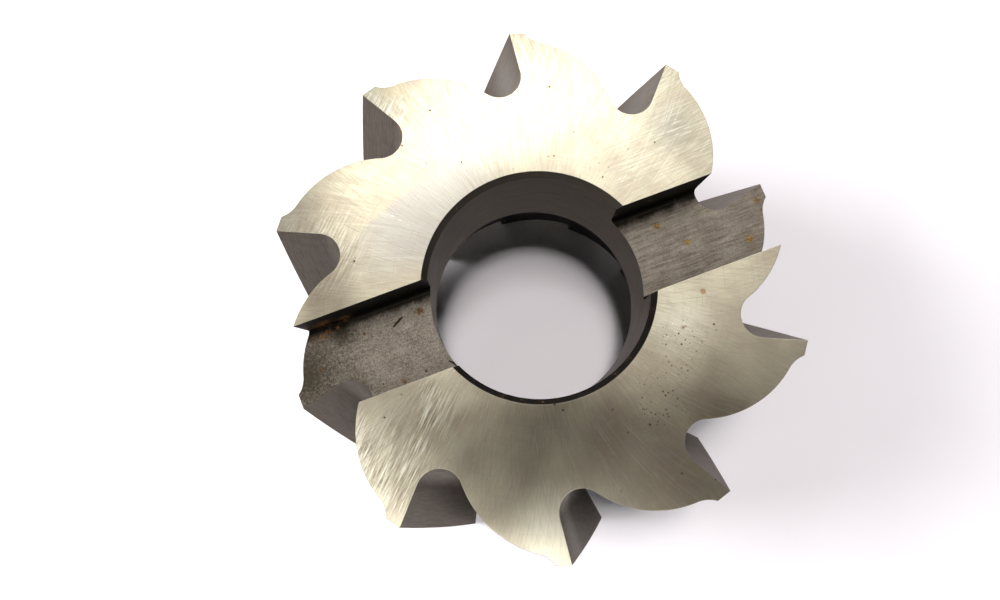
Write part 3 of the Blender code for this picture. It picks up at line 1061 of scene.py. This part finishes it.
def all_finishes():
    """One finish for each kind of surface on the mill."""
    return {
        "drive_face": ground_drive_face(),
        "flute": milled_steel(
            "flute_steel",
            (0.049, 0.040, 0.033),
            (0.076, 0.064, 0.054),
            (0.048, 0.028, 0.016),
            roughness=0.44,
            shine=0.65,
            bright=FLUTE_PAINTED_HIGHLIGHTS,
            rusty=FLUTE_RUST,
        ),
        "land": milled_steel(
            "land_steel", (0.24, 0.21, 0.17), (0.38, 0.35, 0.29), (0.20, 0.15, 0.09)
        ),
        "end_tooth": milled_steel(
            "end_tooth_steel", (0.30, 0.27, 0.22), (0.48, 0.44, 0.36), (0.24, 0.18, 0.11)
        ),
        "bore": turned_steel(
            "bore_steel",
            (0.032, 0.027, 0.022),
            (0.058, 0.050, 0.040),
            roughness=0.38,
            feed=0.16 * MM,
            smudges=BORE_SMUDGE,
        ),
        "recess": black_scale("recess_scale", (0.0045, 0.0034, 0.0026), roughness=0.6),
        "seat": turned_steel(
            "seat_steel", (0.05, 0.045, 0.04), (0.08, 0.072, 0.062), roughness=0.45, feed=0.25 * MM
        ),
        "slot_floor": slot_floor_steel(),
        "slot_wall": black_scale(
            "slot_wall_scale", (0.0035, 0.0024, 0.0014), roughness=0.6, rusty=WALL_RUST
        ),
        "loose": black_scale("loose_scale", (0.018, 0.010, 0.006), roughness=0.5),
        "chamfer": black_scale(
            "chamfer_scale", (0.0055, 0.0045, 0.0035), roughness=0.55, far=FAR_CHAMFER_PAINTED_LIGHT
        ),
    }


# Floor, light and camera

FLOOR_REACH = 4.0
FLOOR_DROP = 0.01 * MM

# The picture's right and up, as directions on the floor
IMAGE_RIGHT = Vector((0.936, -0.352, 0))
IMAGE_UP = Vector((0.352, 0.936, 0))

# Panels of light: how far to the picture's right and up, height, width, depth, glow and colour
PANELS = [
    ("window", -1.08, 0.12, 0.62, 0.7, 0.7, 17.0, (1.0, 0.995, 1.0)),
    ("overhead", -0.0105, 0.032, 0.9, 0.055, 0.055, 200.0, (1.0, 0.955, 0.95)),
    ("overhead_soft", -0.0105, 0.10, 0.9, 0.13, 0.19, 54.0, (1.0, 0.955, 0.95)),
]

# Faint panels all round, the first of them at this angle
FILL_COUNT = 4
FILL_TURN = 45
FILL_AWAY = 1.2
FILL_HEIGHT = 1.0
FILL_SIZE = 1.0
FILL_GLOW = 0.9
FILL_COLOR = (0.95, 0.97, 1.0)

# What the shiny face mirrors, by the slope of the reflected ray to the picture's right and up: the
# glow of each pane, its middle, its half width and half height, its soft border and its turn
PANES = [
    (1.30, 0.276, 0.548, 0.30, 0.36, 0.10, -0.90),
    (2.10, -0.480, 0.461, 0.10, 0.52, 0.12, 0.33),
    (2.00, -0.131, 0.198, 0.03, 0.16, 0.05, 0.47),
    (2.60, 0.325, -0.430, 0.24, 0.26, 0.06, 0.64),
    (5.40, -0.242, -0.125, 0.33, 0.036, 0.05, -0.17),
    (3.00, -0.031, 0.408, 0.19, 0.07, 0.05, 0.34),
]

# The room between the panes, by the same slopes: a dim gap overhead, bright walls low down, and a
# brighter wall at the picture's top
LOWEST_RAY = 0.01
GAP_GLOW = 0.01
WALL_SLOPES = (1.5, 4.5)
WALL_GLOW = 0.8
TOP_WALL_SLOPES = (0.35, 0.8)
TOP_WALL_GLOW = 1.2
BRIGHT_GLOW = 1.3
DIM_COLOR = (1.0, 0.74, 0.66, 1)
BRIGHT_COLOR = (1.0, 1.0, 1.0, 1)

# In millimetres and degrees
CAMERA_PLACE = (-12.6906, -18.1929, 159.4508)
CAMERA_TURN = (9.5647, 0.0087, -20.5811)


def floor():
    """A plain pale table, just under the cutting end."""
    bm = bmesh.new()
    corners = [(-1, -1), (1, -1), (1, 1), (-1, 1)]
    places = [(x * FLOOR_REACH, y * FLOOR_REACH, -FLOOR_DROP) for x, y in corners]
    bm.faces.new([bm.verts.new(place) for place in places])
    made = object_of("floor", bm)
    table = Finish("pale_floor", roughness=0.6)
    patch = table.cloud(60 * MM, roughness=0.5)
    table.paint(table.board.blend(patch.ramp(0.3, 0.7), *TABLE_PALE))
    made.data.materials.append(table.material)


def softbox(name, right, up, height, width, depth, glow, color):
    """A flat panel of light of an even glow that faces the mill."""
    light = bpy.data.lights.new(name, "AREA")
    light.shape = "RECTANGLE"
    light.size = width
    light.size_y = depth
    light.energy = glow * math.pi * width * depth
    light.color = color
    panel = bpy.data.objects.new(name, light)
    bpy.context.scene.collection.objects.link(panel)
    panel.location = IMAGE_RIGHT * right + IMAGE_UP * up + Vector((0, 0, height))
    panel.rotation_euler = (-panel.location).to_track_quat("-Z", "Y").to_euler()
    # The shiny steel mirrors the room instead
    panel.visible_glossy = False


def room():
    """What shiny surfaces see round the mill. It lights nothing."""
    world = bpy.data.worlds.new("room")
    bpy.context.scene.world = world
    world.use_nodes = True
    world.cycles_visibility.diffuse = False
    board = Board(world.node_tree)
    x, y, z = board.parts(board.node("ShaderNodeTexCoord", None, None, output="Generated"))
    height = z.most(LOWEST_RAY)
    right = (x * IMAGE_RIGHT.x + y * IMAGE_RIGHT.y) / height
    up = (x * IMAGE_UP.x + y * IMAGE_UP.y) / height
    away = (right * right + up * up).root()
    far = away.ramp(*WALL_SLOPES)
    glow = far * WALL_GLOW + GAP_GLOW + (up / (away + 1)).ramp(*TOP_WALL_SLOPES) * TOP_WALL_GLOW
    for pane_glow, middle_right, middle_up, half_width, half_height, soft, turn in PANES:
        from_right, from_up = right - middle_right, up - middle_up
        along = from_right * math.cos(turn) + from_up * math.sin(turn)
        across = from_up * math.cos(turn) - from_right * math.sin(turn)
        inside = (half_width - abs(along)).ramp(-soft / 2, soft / 2)
        inside = inside * (half_height - abs(across)).ramp(-soft / 2, soft / 2)
        glow = glow + inside * pane_glow
    color = board.blend(glow.ramp(0.0, BRIGHT_GLOW).most(far), DIM_COLOR, BRIGHT_COLOR)
    background = world.node_tree.nodes["Background"]
    world.node_tree.links.new(color.socket, background.inputs["Color"])
    world.node_tree.links.new(glow.socket, background.inputs["Strength"])


def light_and_camera():
    for panel in PANELS:
        softbox(*panel)
    for side in range(FILL_COUNT):
        turn = math.radians(FILL_TURN + 360 / FILL_COUNT * side)
        right, up = FILL_AWAY * math.cos(turn), FILL_AWAY * math.sin(turn)
        softbox(f"fill_{side + 1}", right, up, FILL_HEIGHT, FILL_SIZE, FILL_SIZE, FILL_GLOW, FILL_COLOR)
    room()

    camera = bpy.data.cameras.new("camera")
    camera.lens = 29.986
    camera.sensor_width = 36.0
    camera.clip_start = 0.005
    camera.clip_end = 20.0
    viewer = bpy.data.objects.new("camera", camera)
    bpy.context.scene.collection.objects.link(viewer)
    viewer.location = [part * MM for part in CAMERA_PLACE]
    viewer.rotation_euler = [math.radians(turn) for turn in CAMERA_TURN]
    bpy.context.scene.camera = viewer
    bpy.context.scene.view_settings.view_transform = "Standard"


finishes = all_finishes()
milled_body(finishes)
loose_bits(finishes["loose"])
floor()
light_and_camera()
